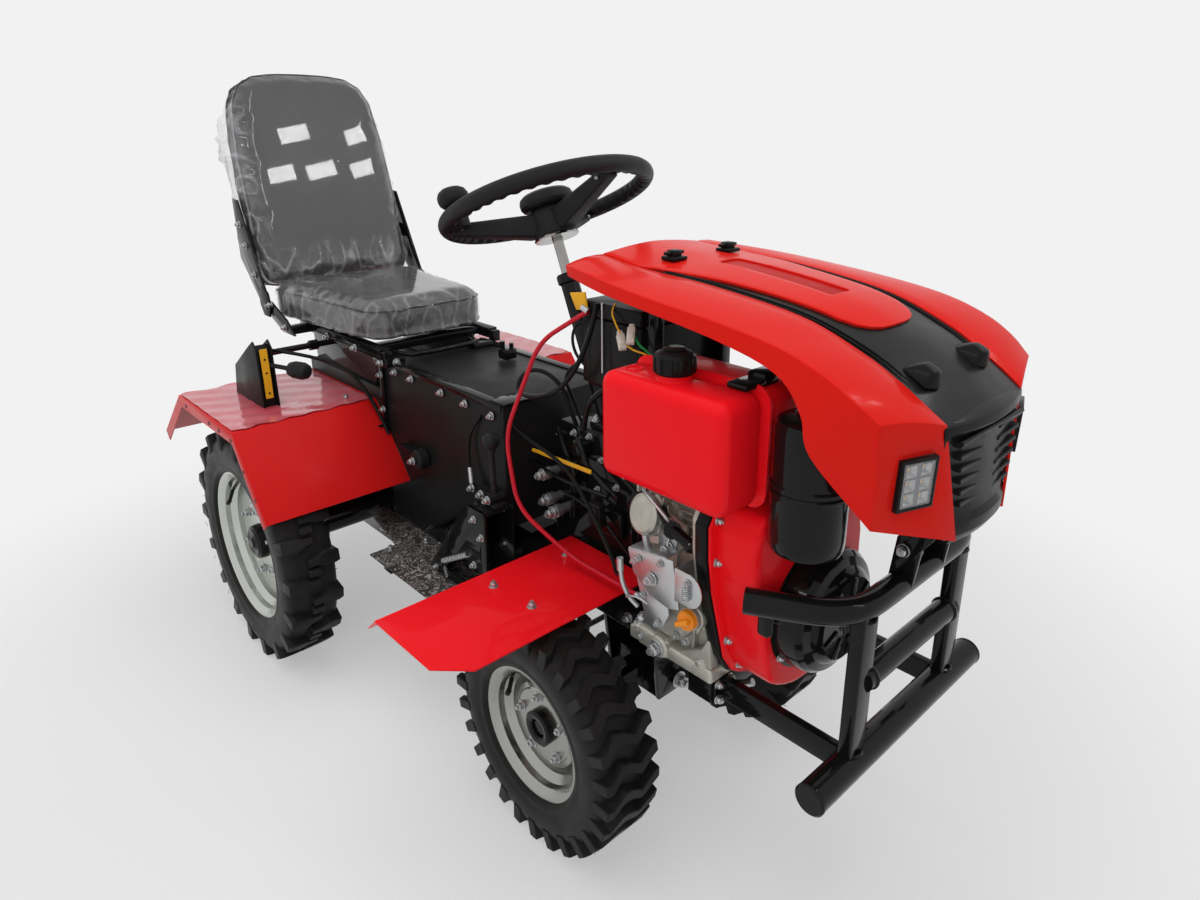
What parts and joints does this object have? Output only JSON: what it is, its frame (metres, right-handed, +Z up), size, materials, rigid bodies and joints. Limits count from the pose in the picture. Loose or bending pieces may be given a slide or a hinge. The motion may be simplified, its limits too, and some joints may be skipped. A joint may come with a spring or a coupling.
{
  "type": "ride-on mini tractor",
  "caption": "Four-wheel ride-on mini tractor with a front single-cylinder diesel, steering wheel, seat, mudguards, tilting bonnet and tubular front guard",
  "frame": {"origin": "bottom centre of the whole tractor's box, on the ground between the wheels", "axes": "+X forward along the tractor, +Y to its left, +Z up"},
  "size_m": [1.8816, 0.918, 1.292],
  "materials": {
    "red_paint": "gloss",
    "red_plastic": "gloss",
    "black_steel": "semi-gloss",
    "black_plastic": "satin",
    "tyre_rubber": "matt",
    "floor_rubber": "textured",
    "zinc_steel": "galvanised",
    "cast_alloy": "as cast",
    "seat_vinyl": "black vinyl",
    "lamp_lens": "clear",
    "red_sleeve": "satin"
  },
  "bodies": {
    "chassis": {"chassis_frame": "black_steel", "front_guard": "black_steel", "rear_axle_case": "black_steel", "tunnel_body": "black_steel", "drive_housing": "black_steel", "front_axle_beam": "black_steel", "engine_block": "cast_alloy", "fan_shroud": "red_paint", "recoil_starter": "black_plastic", "fuel_tank": "red_paint", "fuel_cap": "black_plastic", "air_filter": "black_plastic", "muffler": "black_steel", "dash_frame": "black_steel", "battery_box": "black_plastic", "steering_column": "black_steel", "seat_frame": "black_steel", "seat_cushion": "seat_vinyl", "right_floor_plate": "floor_rubber", "left_floor_plate": "floor_rubber", "rear_right_fender": "red_paint", "rear_left_fender": "red_paint", "front_right_fender": "red_paint", "front_left_fender": "red_paint", "right_pedal_box": "black_steel", "left_pedal_box": "black_steel", "throttle_quadrant": "black_plastic", "gear_lever": "black_plastic", "red_cable": "red_sleeve"},
    "right_knuckle": {"right_knuckle": "black_steel"},
    "left_knuckle": {"left_knuckle": "black_steel"},
    "tie_rod": {"tie_rod": "zinc_steel"},
    "front_right_wheel": {"front_right_tyre": "tyre_rubber", "front_right_rim": "zinc_steel"},
    "front_left_wheel": {"front_left_tyre": "tyre_rubber", "front_left_rim": "zinc_steel"},
    "rear_right_wheel": {"rear_right_tyre": "tyre_rubber", "rear_right_rim": "zinc_steel"},
    "rear_left_wheel": {"rear_left_tyre": "tyre_rubber", "rear_left_rim": "zinc_steel"},
    "steering_wheel": {"steering_wheel": "black_plastic"},
    "bonnet": {"right_bonnet_wing": "red_plastic", "left_bonnet_wing": "red_plastic", "bonnet_centre": "black_plastic", "bonnet_hinge": "black_steel", "right_headlight": "lamp_lens", "left_headlight": "lamp_lens"},
    "backrest": {"backrest_frame": "black_steel", "seat_back": "seat_vinyl"}
  },
  "joints": [
    {"name": "right_steer", "type": "hinge", "parent": "chassis", "child": "right_knuckle", "pos_m": [0.37884, -0.145, 0.205], "axis": [0, 0, 1], "range_deg": [-25, 25]},
    {"name": "left_steer", "type": "hinge", "parent": "chassis", "child": "left_knuckle", "pos_m": [0.37884, 0.145, 0.205], "axis": [0, 0, 1], "range_deg": [-25, 25]},
    {"name": "front_right_spin", "type": "hinge", "parent": "right_knuckle", "child": "front_right_wheel", "pos_m": [0.37884, -0.238, 0.205], "axis": [0, 1, 0], "continuous": true},
    {"name": "front_left_spin", "type": "hinge", "parent": "left_knuckle", "child": "front_left_wheel", "pos_m": [0.37884, 0.238, 0.205], "axis": [0, 1, 0], "continuous": true},
    {"name": "rear_right_spin", "type": "hinge", "parent": "chassis", "child": "rear_right_wheel", "pos_m": [-0.47416, -0.374, 0.265], "axis": [0, 1, 0], "continuous": true},
    {"name": "rear_left_spin", "type": "hinge", "parent": "chassis", "child": "rear_left_wheel", "pos_m": [-0.47416, 0.374, 0.265], "axis": [0, 1, 0], "continuous": true},
    {"name": "tie_rod_swing", "type": "hinge", "parent": "right_knuckle", "child": "tie_rod", "pos_m": [0.26884, -0.145, 0.252], "axis": [0, 0, 1], "range_deg": [-25, 25]},
    {"name": "steering_turn", "type": "hinge", "parent": "chassis", "child": "steering_wheel", "pos_m": [0.10884, 0, 1.029], "axis": [-0.3987, 0, 0.9171], "range_deg": [-200, 200]},
    {"name": "bonnet_tilt", "type": "hinge", "parent": "chassis", "child": "bonnet", "pos_m": [0.87084, 0, 0.66], "axis": [0, 1, 0], "range_deg": [0, 60]},
    {"name": "backrest_recline", "type": "hinge", "parent": "chassis", "child": "backrest", "pos_m": [-0.72416, 0, 0.742], "axis": [0, 1, 0], "range_deg": [-20, 5]}
  ],
  "couplings": [
    {"joint": "left_steer", "follows": "right_steer", "ratio": 1},
    {"joint": "tie_rod_swing", "follows": "right_steer", "ratio": -1},
    {"joint": "steering_turn", "follows": "right_steer", "ratio": 8}
  ]
}
